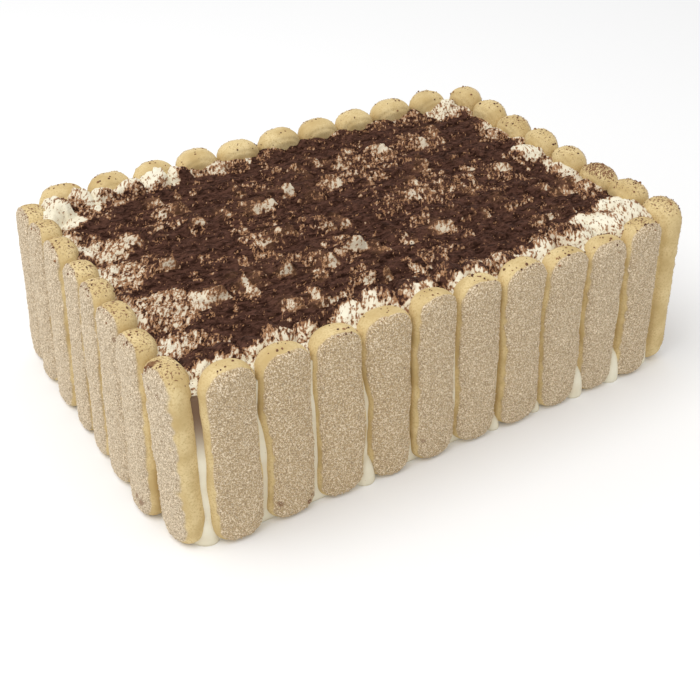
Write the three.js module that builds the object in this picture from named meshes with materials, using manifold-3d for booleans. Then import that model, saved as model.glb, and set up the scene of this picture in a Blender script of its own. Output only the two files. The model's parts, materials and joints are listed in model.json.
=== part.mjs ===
// Tiramisu sheet cake: a block covered in cream, its top rippled with a spatula, fenced on all four sides
// by upright ladyfinger biscuits that are pressed into the cream.
// Millimetres, +Z up. The origin lies on the resting plane under the middle of the cake.
// +X runs along the long front, and the front faces -Y.
import * as THREE from "three";
import { mergeVertices } from "three/addons/utils/BufferGeometryUtils.js";
import Module from "manifold-3d";

// The cake over the tops of its biscuits: a 13 by 9 inch quarter sheet.
const CAKE_LENGTH = 330;
const CAKE_DEPTH = 228;

// One ladyfinger, and how much its length and its place in the row vary by hand.
const FINGER_LENGTH = 107.5;
const FINGER_THICKNESS = 16.5;
const LENGTH_SPREAD = 1.6;
const DEPTH_SPREAD = 0.5;
const FACE_SHARE = 0.42; // of the thickness, from the widest line out to the sugared face
const FACE_POWER = 2.4; // superellipse power of the flat sugared half
const BACK_POWER = 2.5; // and of the rounder half that lies in the cream
const END_ROUND_WIDE = 13; // rounding of the ends, seen from the front
const END_ROUND_DEEP = 7; // and seen from the side
const END_POWER = 2.4;
const FINGER_SIDES = 8;
const FINGER_ROWS = 10;
const ROW_CROWDING = 2.6; // draws the rows of facets towards the rounded ends

// A row of fingers stands closer together at the top than at the foot. Its fingers share the row by their
// widths. On the short sides they lean in, so that their feet stand out from under their tops. The lengths of
// those that are hidden are drawn at random.
const alike = (count, value) => Array(count).fill(value);
const FRONT_ROW = {
  leans: alike(10, 0),
  lengths: [107.3, 105.8, 105.8, 106.3, 107.8, 106.5, 107.8, 104.8, 103.8, 107.2],
};
const BACK_ROW = {
  topSpan: 294,
  footSpan: 297,
  topShift: 1,
  footShift: 0,
  widths: alike(10, 29),
  leans: alike(10, 0),
};
const RIGHT_ROW = {
  topSpan: 217.5,
  footSpan: 227,
  topShift: 0,
  footShift: 0,
  widths: alike(8, 27),
  leans: [1.5, 4, 5, 5.5, 5, 5, 4.5, 3.5],
};
const LEFT_ROW = {
  topSpan: 207.5,
  footSpan: 216.8,
  topShift: 0.6,
  footShift: 0.3,
  widths: [23.4, 23.2, 29.2, 24.2, 25.2, 26.2, 27.2, 28.6],
  leans: [3.5, 5, 5.5, 5.5, 5, 5, 4.5, 0],
  lengths: [106.3, 107.3, 108, 106.8, 108.7, 108.7, 107, 106.7],
};
const TOUCH_GAP = 0.5; // between two fingers where they meet
const FOOT_OPENING = 3; // the most that a gap opens towards the foot
const OPENING_POWER = 1.5; // how late in its way down it opens
const OPENING_SHARE = 0.2; // of that opening, taken from the finger to its left
const WAIST_DEPTH = 2.2; // the most that a finger's edge is pinched in
const WAIST_SPAN = 0.16; // half height of such a pinch, as a share of the finger
const WAIST_LOWEST = 0.3;
const WAIST_HIGHEST = 0.65;
const SEAM_SWAY = 0.8; // slow wander of the line between two fingers
const SWAY_TURN = 4; // radians of it from foot to top

// The gaps of a row whose fingers stand close.
const SNUG_GAP = { opening: 1, pinch: 0.4, height: 0.5 };

// The gaps of the front row from left to right, ends included, read at these heights: where the finger to
// the left ends and where the finger to the right begins.
const SEAM_HEIGHTS = [13, 29, 53, 76, 92];
const FRONT_SEAMS = [
  { left: [], right: [-147, -147.2, -147, -146.8, -147] },
  { left: [-117.5, -117.1, -117.6, -118.2, -118.4], right: [-115.8, -114.3, -114.6, -117.8, -117.5] },
  { left: [-85.8, -86.3, -86.5, -87.4, -87.9], right: [-85.3, -85.1, -86, -87, -87.3] },
  { left: [-56.7, -56.2, -55.9, -59, -58.8], right: [-53.8, -55.2, -52.5, -58.6, -58.4] },
  { left: [-26.6, -27.6, -27.6, -28.9, -28.8], right: [-26.1, -26.5, -27.2, -28.5, -28.4] },
  { left: [2.4, 1.5, 0.2, -0.3, -0.9], right: [2.9, 2.7, 1.1, 0.1, 0] },
  { left: [31.4, 30.8, 31.1, 28.5, 28.4], right: [32.4, 32.4, 31.7, 29.1, 28.8] },
  { left: [62.6, 61.2, 59.1, 58.3, 58.6], right: [63, 61.7, 59.5, 58.7, 59] },
  { left: [91.6, 92, 90, 88.6, 88.6], right: [93.8, 92.6, 90.8, 89.8, 89] },
  { left: [121, 119.7, 118.7, 118, 117.4], right: [122.7, 121.9, 121.8, 118.7, 117.8] },
  { left: [149, 148.8, 146, 143.9, 143.5], right: [] },
];

// The cream: a block between the fingers, dabs that ooze out at the foot of the widest gaps in front,
// and the rippled top.
const SOCKET_CLEARANCE = 0.3; // between a finger and the cream that it is pressed into
const CREAM_SETBACK = 6.5; // of the cream between the fingers, behind their outer faces
const CREAM_CORNER = 20; // radius of the block's upright corners
const CORNER_FACETS = 4;
const CREAM_SHOULDER = 93.5; // height of the cream at the fingers
const OOZE_PLACES = [-149, -55.3, 92.7, 121.9, 151]; // along the front
const OOZE = { wide: 5, deep: 4, tall: 14 }; // half sizes of a dab, its height from the ground
const OOZE_SIDES = 8;
const TOP_INSET = 14; // of the rippled top from the outer faces
const TOP_BASE = 94.5; // height of the grooves
const TOP_ROOT = 60; // the rippled slab reaches down to here, inside the block
const TOP_COLUMNS = 40;
const TOP_ROWS = 28;

// The ripples: lanes of overlapping scallops, each steep towards the front and the left, and sloping down
// to the back and the right.
const LANE_PITCH = 34;
const FIRST_LANE = -107;
const LANES = 6;
const SCALLOP_PITCH = 25;
const SCALLOP_BULGE = 5; // how far a scallop's edge swells forward
const SCALLOP_HEIGHT = 7;
const SCALLOP_LEAST = 0.4; // share of that height where a scallop ends
const SCALLOP_RISE = 0.2; // share of its length over which a scallop rises at its start
const LANE_SHIFT = 0.37; // of a scallop, from one lane to the next
const LANE_DRIFT = 4; // slow wander of a lane's edge
const DRIFT_WAVE = 190;
const DRIFT_TURN = 1.7; // radians of that wander from one lane to the next
const LANE_RISE = 0.14; // share of a lane taken up by its steep front
const CROWN = 1.5; // the middle of the top above its rim

const BISCUIT_COLOUR = 0xd8b888;
const BAKING_SPREAD = 0.02; // how much lighter or darker one finger is baked than another
const CREAM_COLOUR = 0xf3e8cf;
const SEED = 20;
const DRAW_FACTOR = 1664525;
const DRAW_STEP = 1013904223;
const DRAW_RANGE = 2 ** 32;
const SAME_POINT = 1e-4; // vertices closer than this are one

const wasm = await Module();
wasm.setup();

// Small repeatable random numbers from 0 to 1.
function seededDraws(seed) {
  let state = seed;
  return () => {
    state = (state * DRAW_FACTOR + DRAW_STEP) % DRAW_RANGE;
    return state / DRAW_RANGE;
  };
}

const draw = seededDraws(SEED);
const drawAround = (spread) => (2 * draw() - 1) * spread;
const signedPower = (x, power) => Math.sign(x) * Math.abs(x) ** (2 / power);
const sum = (numbers) => numbers.reduce((total, number) => total + number, 0);

function biscuit() {
  const color = new THREE.Color(BISCUIT_COLOUR).offsetHSL(0, 0, drawAround(BAKING_SPREAD));
  return new THREE.MeshStandardMaterial({ color, roughness: 0.85, metalness: 0 });
}

function cream() {
  return new THREE.MeshStandardMaterial({ color: CREAM_COLOUR, roughness: 0.6, metalness: 0 });
}

// How wide the gap at a place in a row is, drawn at random.
function drawGap() {
  return {
    opening: draw() ** 2 * FOOT_OPENING,
    pinch: draw() ** 2 * WAIST_DEPTH,
    height: THREE.MathUtils.lerp(WAIST_LOWEST, WAIST_HIGHEST, draw()),
  };
}

const drawLengths = (count) => alike(count).map(() => FINGER_LENGTH + drawAround(LENGTH_SPREAD));

// Where the line between two neighbours in a row runs, without its sway.
// Height v runs from 0 at the foot to 1 at the top.
function seamLine(row, place, v) {
  const span = THREE.MathUtils.lerp(row.footSpan, row.topSpan, v);
  const shift = THREE.MathUtils.lerp(row.footShift, row.topShift, v);
  const share = sum(row.widths.slice(0, place)) / sum(row.widths);
  return (share - 0.5) * span + shift;
}

// The edges of the fingers on both sides of that line, which sways a little.
function drawSeam(row, place, gap) {
  const atEnd = place === 0 || place === row.widths.length;
  const sway = atEnd ? 0 : drawAround(SEAM_SWAY);
  const turn = draw() * Math.PI;
  const line = (v) => seamLine(row, place, v) + sway * Math.sin(turn + SWAY_TURN * v);
  const open = (v) => gap.opening * (1 - v) ** OPENING_POWER;
  const pinch = (v) => gap.pinch * Math.exp(-(((v - gap.height) / WAIST_SPAN) ** 2));
  return {
    leftOf: (v) => line(v) - TOUCH_GAP / 2 - OPENING_SHARE * open(v),
    rightOf: (v) => line(v) + TOUCH_GAP / 2 + (1 - OPENING_SHARE) * open(v) + pinch(v),
  };
}

// The edges of the fingers on both sides of a gap that was read at a few heights.
function readSeam({ left, right }) {
  const edge = (readings) => (v) => {
    const height = THREE.MathUtils.clamp(v * FINGER_LENGTH, SEAM_HEIGHTS[0], SEAM_HEIGHTS.at(-1));
    const upper = Math.max(SEAM_HEIGHTS.findIndex((read) => read >= height), 1);
    const share = THREE.MathUtils.inverseLerp(SEAM_HEIGHTS[upper - 1], SEAM_HEIGHTS[upper], height);
    return THREE.MathUtils.lerp(readings[upper - 1], readings[upper], share);
  };
  return { leftOf: edge(left), rightOf: edge(right) };
}

// One ladyfinger between two seams, its foot flat on the ground and its sugared face towards -Y.
// Growing it by a clearance gives the socket that it leaves in the cream.
function fingerGeometry(finger, grow) {
  const halfSide = Math.PI / FINGER_SIDES;
  const geometry = new THREE.SphereGeometry(1, FINGER_SIDES, FINGER_ROWS, halfSide).rotateX(Math.PI / 2);
  geometry.deleteAttribute("normal");
  geometry.deleteAttribute("uv");
  const place = geometry.getAttribute("position");
  const point = new THREE.Vector3();
  const half = finger.length / 2;
  const facetReach = Math.cos(halfSide) ** (2 / FACE_POWER);
  const ringShare = (lift) => 1 - (1 - Math.abs(lift)) ** ROW_CROWDING;
  const footShare = ringShare(1 - 2 / FINGER_ROWS);
  const rounding = (fromEnd, round) => {
    const past = THREE.MathUtils.clamp(1 - fromEnd / round, 0, 1);
    return (1 - past ** END_POWER) ** (1 / END_POWER);
  };
  for (let i = 0; i < place.count; i++) {
    point.fromBufferAttribute(place, i);
    const lift = 1 - (2 * Math.acos(THREE.MathUtils.clamp(point.z, -1, 1))) / Math.PI;
    const share = Math.sign(lift) * ringShare(lift);
    const fromEnd = half * (1 - Math.abs(share));
    const v = (1 + share) / 2;
    const around = Math.atan2(point.y, point.x);
    const atPole = Math.abs(lift) > 1 - SAME_POINT;
    const wide = atPole ? 0 : rounding(fromEnd, END_ROUND_WIDE);
    const deep = atPole ? 0 : rounding(fromEnd, END_ROUND_DEEP);
    const facesOut = point.y < 0;
    const depth = (finger.thickness * (facesOut ? FACE_SHARE : 1 - FACE_SHARE)) / facetReach + grow;
    const power = facesOut ? FACE_POWER : BACK_POWER;
    const middle = (finger.left(v) + finger.right(v)) / 2;
    const halfWidth = (finger.right(v) - finger.left(v)) / 2 / facetReach + grow;
    const height = half * (Math.max(share, -footShare) + footShare);
    const liftedBy = grow * Math.sign(share);
    place.setXYZ(
      i,
      middle + signedPower(Math.cos(around), power) * wide * halfWidth,
      finger.back - finger.lean * (1 - v) + signedPower(Math.sin(around), power) * deep * depth,
      height + liftedBy,
    );
  }
  return mergeVertices(geometry, SAME_POINT);
}

// A row of fingers as a group that faces -Y, with the tops of its outer faces on the group's own XZ plane.
function fingerRow(name, row, seams) {
  const group = new THREE.Group();
  for (let i = 0; i < row.lengths.length; i++) {
    const finger = {
      left: seams[i].rightOf,
      right: seams[i + 1].leftOf,
      length: row.lengths[i],
      thickness: FINGER_THICKNESS,
      back: FACE_SHARE * FINGER_THICKNESS + DEPTH_SPREAD * draw(),
      lean: row.leans[i],
    };
    const mesh = new THREE.Mesh(fingerGeometry(finger, 0), biscuit());
    mesh.name = `ladyfinger_${name}_${String(i + 1).padStart(2, "0")}`;
    mesh.userData.socket = fingerGeometry(finger, SOCKET_CLEARANCE);
    group.add(mesh);
  }
  return group;
}

// Turns a row to face outwards on one side of the cake.
function standRow(name, row, seams, turn, reach) {
  const group = fingerRow(name, row, seams);
  group.rotation.z = turn;
  group.position.set(Math.sin(turn) * reach, -Math.cos(turn) * reach, 0);
  return group;
}

// How far along its scallop a place in a lane lies, from 0 to 1.
function scallopShare(lane, x) {
  return THREE.MathUtils.euclideanModulo(x / SCALLOP_PITCH + lane * LANE_SHIFT, 1);
}

// Where a lane's steep front edge runs, for a place along X.
function laneEdge(lane, x) {
  const swell = Math.sin(Math.PI * scallopShare(lane, x));
  const drift = LANE_DRIFT * Math.sin((2 * Math.PI * x) / DRIFT_WAVE + DRIFT_TURN * lane);
  return FIRST_LANE + lane * LANE_PITCH + drift - SCALLOP_BULGE * swell;
}

// Height of the rippled cream above its grooves.
function rippleHeight(x, y) {
  let lane = 0;
  while (lane < LANES && y >= laneEdge(lane + 1, x)) lane++;
  const start = laneEdge(lane, x);
  const across = THREE.MathUtils.clamp((y - start) / (laneEdge(lane + 1, x) - start), 0, 1);
  const share = scallopShare(lane, x);
  const rise = THREE.MathUtils.smoothstep(share, 0, SCALLOP_RISE);
  const fall = (1 - share) / (1 - SCALLOP_RISE);
  const swept = THREE.MathUtils.lerp(SCALLOP_LEAST, 1, Math.min(rise, fall));
  const front = THREE.MathUtils.smoothstep(across, 0, LANE_RISE);
  return SCALLOP_HEIGHT * swept * front * (1 - across);
}

// A slab whose upper face carries the ripples, crowned a little in the middle.
function rippledTop() {
  const length = CAKE_LENGTH - 2 * TOP_INSET;
  const depth = CAKE_DEPTH - 2 * TOP_INSET;
  const thick = TOP_BASE - TOP_ROOT;
  const slab = new THREE.BoxGeometry(length, depth, thick, TOP_COLUMNS, TOP_ROWS, 1);
  slab.translate(0, 0, TOP_ROOT + thick / 2);
  const place = slab.getAttribute("position");
  for (let i = 0; i < place.count; i++) {
    if (place.getZ(i) < TOP_BASE) continue;
    const [x, y] = [place.getX(i), place.getY(i)];
    const crown = CROWN * Math.cos((Math.PI * x) / CAKE_LENGTH) * Math.cos((Math.PI * y) / CAKE_DEPTH);
    place.setZ(i, TOP_BASE + crown + rippleHeight(x, y));
  }
  return slab;
}

// The block of cream, with round upright corners.
function creamBlock() {
  const halfLength = CAKE_LENGTH / 2 - CREAM_SETBACK;
  const halfDepth = CAKE_DEPTH / 2 - CREAM_SETBACK;
  const [dx, dy] = [halfLength - CREAM_CORNER, halfDepth - CREAM_CORNER];
  const outline = new THREE.Shape();
  outline.absarc(dx, -dy, CREAM_CORNER, -Math.PI / 2, 0);
  outline.absarc(dx, dy, CREAM_CORNER, 0, Math.PI / 2);
  outline.absarc(-dx, dy, CREAM_CORNER, Math.PI / 2, Math.PI);
  outline.absarc(-dx, -dy, CREAM_CORNER, Math.PI, 1.5 * Math.PI);
  return new THREE.ExtrudeGeometry(outline, {
    depth: CREAM_SHOULDER,
    bevelEnabled: false,
    curveSegments: CORNER_FACETS,
  });
}

// A dab of cream at the foot of a gap in the front row. Its lower half is in the ground until it is cut.
function oozeDab(place) {
  const dab = new THREE.SphereGeometry(1, OOZE_SIDES, OOZE_SIDES).rotateX(Math.PI / 2);
  dab.scale(OOZE.wide, OOZE.deep, OOZE.tall);
  return dab.translate(place, CREAM_SETBACK - CAKE_DEPTH / 2, 0);
}

// Everything below the resting plane.
function ground() {
  const box = new THREE.BoxGeometry(CAKE_LENGTH, CAKE_DEPTH, FINGER_LENGTH);
  return box.translate(0, 0, -FINGER_LENGTH / 2);
}

// A closed mesh as a solid for joining and cutting, and back.
function toSolid(geometry, matrix = new THREE.Matrix4()) {
  const bare = new THREE.BufferGeometry().setIndex(geometry.index);
  bare.setAttribute("position", geometry.getAttribute("position").clone());
  const merged = mergeVertices(bare.applyMatrix4(matrix), SAME_POINT);
  return new wasm.Manifold(
    new wasm.Mesh({
      numProp: 3,
      vertProperties: new Float32Array(merged.getAttribute("position").array),
      triVerts: new Uint32Array(merged.index.array),
    }),
  );
}

function toGeometry(solid) {
  const { vertProperties, triVerts } = solid.getMesh();
  const geometry = new THREE.BufferGeometry();
  geometry.setAttribute("position", new THREE.BufferAttribute(vertProperties, 3));
  geometry.setIndex(new THREE.BufferAttribute(triVerts, 1));
  geometry.computeVertexNormals();
  return geometry;
}

// The cream with a socket for each finger. Scraps pinched off between two fingers are dropped.
function creamMesh(fingers) {
  let solid = toSolid(creamBlock()).add(toSolid(rippledTop()));
  for (const place of OOZE_PLACES) {
    solid = solid.add(toSolid(oozeDab(place)));
  }
  solid = solid.subtract(toSolid(ground()));
  for (const finger of fingers) {
    solid = solid.subtract(toSolid(finger.userData.socket, finger.matrixWorld));
  }
  const [largest] = solid.decompose().sort((a, b) => b.volume() - a.volume());
  const mesh = new THREE.Mesh(toGeometry(largest), cream());
  mesh.name = "cream_cake";
  return mesh;
}

const frontSeams = FRONT_SEAMS.map(readSeam);
const leftSeams = alike(9, SNUG_GAP).map((gap, place) => drawSeam(LEFT_ROW, place, gap));
const rightSeams = alike(9).map((_, place) => drawSeam(RIGHT_ROW, place, drawGap()));
const backSeams = alike(11).map((_, place) => drawSeam(BACK_ROW, place, drawGap()));
const rightRow = { ...RIGHT_ROW, lengths: drawLengths(8) };
const backRow = { ...BACK_ROW, lengths: drawLengths(10) };
const cake = new THREE.Group();
cake.add(
  standRow("front", FRONT_ROW, frontSeams, 0, CAKE_DEPTH / 2),
  standRow("right", rightRow, rightSeams, Math.PI / 2, CAKE_LENGTH / 2),
  standRow("back", backRow, backSeams, Math.PI, CAKE_DEPTH / 2),
  standRow("left", LEFT_ROW, leftSeams, -Math.PI / 2, CAKE_LENGTH / 2),
);
cake.updateMatrixWorld(true);
const fingers = [];
cake.traverse((object) => object.isMesh && fingers.push(object));
cake.add(creamMesh(fingers));

// The fingers stand unevenly, so the cake is moved a little to bring its middle to the origin.
const box = new THREE.Box3().setFromObject(cake, true);
cake.position.set(-(box.min.x + box.max.x) / 2, -(box.min.y + box.max.y) / 2, -box.min.z);
const part = new THREE.Group().add(cake);

export default part;
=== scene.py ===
"""A tiramisu sheet cake: sugared ladyfingers round a block of cream, its rippled top dusted with cocoa."""
import itertools
import json
import math

import bmesh
import bpy
import numpy as np
from bpy.props import FloatProperty, FloatVectorProperty, IntProperty, PointerProperty
from mathutils import Matrix

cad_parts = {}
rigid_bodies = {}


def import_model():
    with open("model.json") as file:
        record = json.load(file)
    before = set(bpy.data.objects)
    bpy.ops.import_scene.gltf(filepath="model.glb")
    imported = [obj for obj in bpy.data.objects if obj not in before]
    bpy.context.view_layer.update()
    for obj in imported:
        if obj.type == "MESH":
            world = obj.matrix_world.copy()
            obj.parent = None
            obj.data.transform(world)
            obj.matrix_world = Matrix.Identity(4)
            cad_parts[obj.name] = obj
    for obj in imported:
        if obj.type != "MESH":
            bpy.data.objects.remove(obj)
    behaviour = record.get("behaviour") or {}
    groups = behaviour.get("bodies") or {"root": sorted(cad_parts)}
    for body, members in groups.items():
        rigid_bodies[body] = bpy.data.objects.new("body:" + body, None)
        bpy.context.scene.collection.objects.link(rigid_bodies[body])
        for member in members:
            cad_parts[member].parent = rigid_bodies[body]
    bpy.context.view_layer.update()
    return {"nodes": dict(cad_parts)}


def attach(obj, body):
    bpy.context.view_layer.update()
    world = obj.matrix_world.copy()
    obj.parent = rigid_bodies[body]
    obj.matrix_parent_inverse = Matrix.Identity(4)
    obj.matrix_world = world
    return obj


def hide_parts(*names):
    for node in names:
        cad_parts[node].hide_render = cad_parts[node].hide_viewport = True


bl_info = {
    "name": "Tiramisu sheet cake",
    "version": (1, 0, 0),
    "blender": (4, 5, 0),
    "location": "3D View > Sidebar > Cake",
    "description": "Sugared ladyfingers, rippled cream and cocoa round the frame of a sheet cake",
    "category": "Mesh",
}

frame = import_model()

MM = 0.001
BODY = "root"

# The cake over the tops of its biscuits.
CAKE_LENGTH = 330 * MM
CAKE_DEPTH = 228 * MM
CAKE_HALF = np.array((CAKE_LENGTH, CAKE_DEPTH)) / 2

# The rows of biscuits, and the turn in degrees that faces each one outwards.
ROW_TURNS = {"front": 0, "right": 90, "back": 180, "left": -90}

# One ladyfinger, with the values of its solid.
FINGER_THICKNESS = 16.5 * MM
FACE_SHARE = 0.42  # of the thickness, from the widest line out to the sugared face
FACE_POWER = 2.4
BACK_POWER = 2.4
END_ROUND_WIDE = 13 * MM
END_ROUND_DEEP = 7 * MM
END_POWER = 2.4
FOOT_CUT = 0.8 * MM  # of its length, cut off flat at the foot
FINGER_COLUMNS = 96
FINGER_ROWS = 146
END_ROWS = 18  # of those rows, at each rounded end
BACK_DENSITY = 0.65  # columns on the back for each one on the face
SECTION_STEPS = 4000
SECTION_DEPTH = 1.2  # thickness over half width, for the spacing of the columns
EDGE_STEP = 1 * MM
EDGE_BLUR = 2.5 * MM
BLUR_REACH = 3  # widths of the blur that count
BLUR_MARGIN = 4  # widths of the blur past both ends
RING_DIGITS = 5  # decimals that tell the rings of the solid apart
NEAR_END = 3 * MM  # rings of the solid closer to an end than this are too small to measure
EDGE_WOBBLE = 0.8 * MM
EDGE_CELL = 18 * MM
CRUST_SOFT = 0.05  # of the turn from facing out to facing sideways
CRUST_WOBBLE = 0.08
CRUST_CELL = 4 * MM
CRUST_FULL = 0.9  # the share of crust on which loose grains lie
CRUST_RISE = 0.37  # how much further the crust reaches up over the end than round the sides
FACE_SWELL = 0.5 * MM
FACE_CELL = 13 * MM
LUMP_CELL = 2.2 * MM
SKIN_CELL = 9 * MM
SKIN_SWELL = 0.3 * MM
PORE_CELL = 1.5 * MM
PORE_DEPTH = 0.07 * MM
CREASE_INSET = 3.4 * MM
CREASE_WIDE = 0.8 * MM

# How far a biscuit may stand out of its row, and turn about its own middle. The one at the near corner turns
# its face to the front.
STAND_OUT = 0.7 * MM
TWIST = 5  # degrees
SET_TWISTS = {"left_08": 8}
SET_BACK = {"left_08": 1.3 * MM}
LESS_CRUST = {"left_08": math.radians(14)}  # how much less of the turn its crust covers

# How much warmer and browner than the others the crust of each front biscuit is, from 0 to 1.
FRONT_WARMTH = (0.8, 0.9, 0.9, 0.9, 0.7, 0.6, 0.6, 0.5, 0.4, 0.5)

# Cocoa on the upper ends of the biscuits: how far down it reaches, and what a face that looks level catches.
DUST_REACH = 18 * MM
DUST_LEVEL = 0.3
# Dust and specks: what a row starts from, what it gains by its tenth biscuit, and by what power that grows.
LONG_ROW = 10  # biscuits
DUST_AMOUNTS = {
    "front": (0.1, 0.6, 3), "right": (0.78, -0.4, 1), "back": (0.5, -0.5, 1), "left": (0.72, 0, 1),
}
SPECK_NUMBERS = {"front": (10, 20, 2), "right": (30, -18, 1), "back": (11, 0, 1), "left": (12, 0, 1)}
MORE_DUST = {"right_03": 0.3, "right_06": 0.15}  # on single biscuits

# Marks from baking: biscuit, millimetres across from its middle and up it, radius, and how dark it is.
BAKED_MARKS = (
    ("left_08", -6.0, 102.5, 2.2, 1.0),
    ("left_08", -4.0, 104.5, 1.7, 0.9),
    ("left_08", -4.0, 93.6, 1.1, 0.9),
    ("left_08", 3.0, 92.5, 1.1, 0.8),
    ("left_07", 1.0, 11.5, 1.8, 0.55),
    ("left_07", 5.0, 9.5, 2.8, 0.6),
    ("left_06", 10.0, 96.0, 1.8, 0.6),
    ("front_02", -9.6, 13.0, 1.5, 0.7),
    ("front_02", 8.0, 6.0, 1.7, 0.9),
    ("front_02", 10.0, 9.0, 1.2, 0.7),
    ("front_05", -9.5, 16.0, 1.4, 0.5),
    ("right_05", 5.0, 8.0, 2.0, 0.6),
    ("back_03", -6.0, 10.0, 1.8, 0.7),
    ("back_07", 4.0, 95.0, 1.6, 0.6),
)
MARK_CELL = 1.6 * MM
MARK_ROUGH = 0.5
MARK_EDGE = (1.15, 0.6)  # of its radius, from clear to dark

# The block of cream between the biscuits, and its dabs at the foot of the front gaps.
CREAM_SETBACK = 6.5 * MM
CREAM_CORNER = 20 * MM
CREAM_STRAIGHT = CAKE_HALF - CREAM_SETBACK - CREAM_CORNER  # half its straight sides
CREAM_SHOULDER = 92 * MM
WALL_COLUMNS = 880
WALL_ROWS = 60
WALL_CELL = 13 * MM
WALL_SWELL = 0.9 * MM
# Place along the front, half width, reach and height of each dab, in millimetres.
OOZE_DABS = (
    (-149.5, 6.0, 4.0, 16.0), (-55.3, 6.0, 5.5, 17.0), (31.9, 4.5, 4.5, 9.0), (62.8, 4.0, 4.0, 7.0),
    (92.7, 6.5, 6.0, 20.0), (121.9, 6.5, 6.0, 22.0), (151.0, 6.0, 5.0, 26.0),
)

# The brown streak in the gap at the near corner, painted shadow with cocoa that fell in: how far in from the
# corner its middle is, how far round it that fades, between which heights it comes in, and how brown and how
# dark it is.
GAP_SHADE_INSET = 15 * MM
GAP_SHADE_FADE = (20 * MM, 12 * MM)
GAP_SHADE_HEIGHTS = (50 * MM, 84 * MM)
GAP_SHADE_BROWN = 0.85
GAP_SHADE_DARK = 0.6

# The ripples of the top, with the values of its solid.
TOP_HALF = CAKE_HALF - 8 * MM  # half its length and depth
TOP_UNDERSIDE = 80 * MM
TOP_BASE = 94.5 * MM
TOP_COLUMNS = 372
TOP_ROWS = 250
TOP_ROLL = 6 * MM  # how far in from its edge the top rolls over
TOP_DROP = 6 * MM
CROWN = 1.5 * MM
LANE_PITCH = 34 * MM
FIRST_LANE = -107 * MM
LANES = 6
LANE_SHIFT = 0.37
LANE_DRIFT = 4 * MM
DRIFT_WAVE = 190 * MM
DRIFT_TURN = 1.7
LANE_RISE = 0.14
LANE_BARE = 0.46  # the most that a lane's steep front is bare of cocoa
LANE_CELL = 16 * MM
LANE_PATCHY = (-0.3, 0.5)  # noise from covered to bare
SCALLOP_PITCH = 25 * MM
SCALLOP_BULGE = 5 * MM
SCALLOP_HEIGHT = 3 * MM
SCALLOP_LEAST = 0.4
SCALLOP_RISE = 0.2

# Ledges that the spatula's edge left, with steep fronts and right ends that cocoa covers thinly: place of the
# front, half width and height, in millimetres.
LEDGES = (
    (86, 90, 2.5, 2), (-90, 67, 5, 4), (-76, 70, 3.5, 3.5), (-81, 54, 6, 2),
    (-40, 52, 3, 3.5), (-29, 52, 3, 2.5), (5, 51, 4.5, 3), (19, 63, 3.5, 3),
    (27, 56, 5, 4), (38, 53, 6, 2), (46, 58, 4.5, 2.5), (62, 60, 7.5, 3.5),
    (67, 48, 6, 2), (90, 54, 7, 2.5), (108, 62, 7.5, 2.5), (105, 52, 6, 1),
    (-118, 31, 8, 5.5), (-101, 32, 3.5, 3.5), (-80, 31, 7, 5), (-60, 30, 5, 5),
    (-40, 28, 11, 3), (-19, 35, 8, 7), (-6, 25, 7, 1), (12, 33, 7.5, 2.5),
    (33, 25, 4.5, 2.5), (77, 27, 4.5, 2.5), (-116, -3, 10, 5), (-58, -7, 8, 4.5),
    (-43, -5, 8, 4), (-57, -20, 3, 2.5), (-19, -10, 6.5, 5), (-7, -12, 4, 2.5),
    (29, -12, 3, 1.5), (44, -5, 5, 2), (57, 8, 4, 3), (58, -10, 4, 1.5),
    (69, -8, 4.5, 1.5), (68, 14, 4, 1.5), (78, -20, 4, 2), (97, 8, 4.5, 2),
    (116, -4, 6, 3), (-118, -44, 8, 3), (-103, -43, 7, 4.5), (-88, -40, 4, 5),
    (-86, -50, 4.5, 4), (-77, -42, 5, 4), (-62, -40, 6, 6), (-37, -44, 6, 5),
    (-19, -37, 9, 5.5), (-5, -48, 4.5, 2.5), (14, -46, 4, 1), (38, -47, 7, 2),
    (59, -40, 4, 2.5), (67, -45, 6, 1.5), (88, -43, 5, 2.5), (121, -37, 4.5, 2.5),
    (129, -46, 7.5, 1), (144, -38, 7.5, 1.5), (-74, -74, 5, 4), (-60, -75, 6, 4),
    (-48, -56, 4, 2), (-20, -72, 6, 4), (96, -68, 5, 2), (113, -70, 5, 2.5),
)
LEDGE_STEP = 3 * MM  # how far back its front reaches its full height
LEDGE_BACK = 11 * MM  # how far behind its front it sinks into the cream
LEDGE_TRAIL = 19 * MM  # how far behind its front it is partly bare
LEDGE_FLECKED = 0.68  # how bare it is at its crest
LEDGE_CLEAN = 0.55  # share of its front, from the foot up, that is clean
LEDGE_BARE = 0.85  # how bare that share is
LEDGE_FULL = 4 * MM  # the height from which on it is that bare
LEDGE_BROWN = 0.42  # how brown its bare cream is: partly a thin film of cocoa, partly painted shade
LEDGE_SWEEP = (2.8, 0.8)  # half widths left of its right end between which it rises
LEDGE_PATCH = 8 * MM
LEDGE_PATCHY = (-0.5, 0.3)  # noise from a covered to a flecked crest
LEDGE_TORN = (-0.4, 0.3)  # noise from a covered to a clean front
LEDGE_TILT = 0.25
LEDGE_RAGGED = 1.5 * MM
LEDGE_CELL = 5 * MM
FINE_SIZE = 0.4  # of a fine ripple, against a scallop of the lanes
FINE_HEIGHT = 3.2 * MM
FINE_BARE = 0.34
TRAIL = 0.2  # of a lane, how far behind its crest it is partly bare
CREST_BARE = 0.5
CLEAN_COVER = -0.55  # where cream is clean of cocoa
WARP = 5 * MM
WARP_CELL = 30 * MM
RAGGED = 1.3 * MM
RAGGED_CELL = 5 * MM
STROKE_PITCH = 2.6 * MM
STROKE_DEPTH = 0.42 * MM
STROKE_CELL = 14 * MM
STROKE_WANDER = 3  # radians
POWDER_DEPTH = 0.2 * MM

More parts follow.
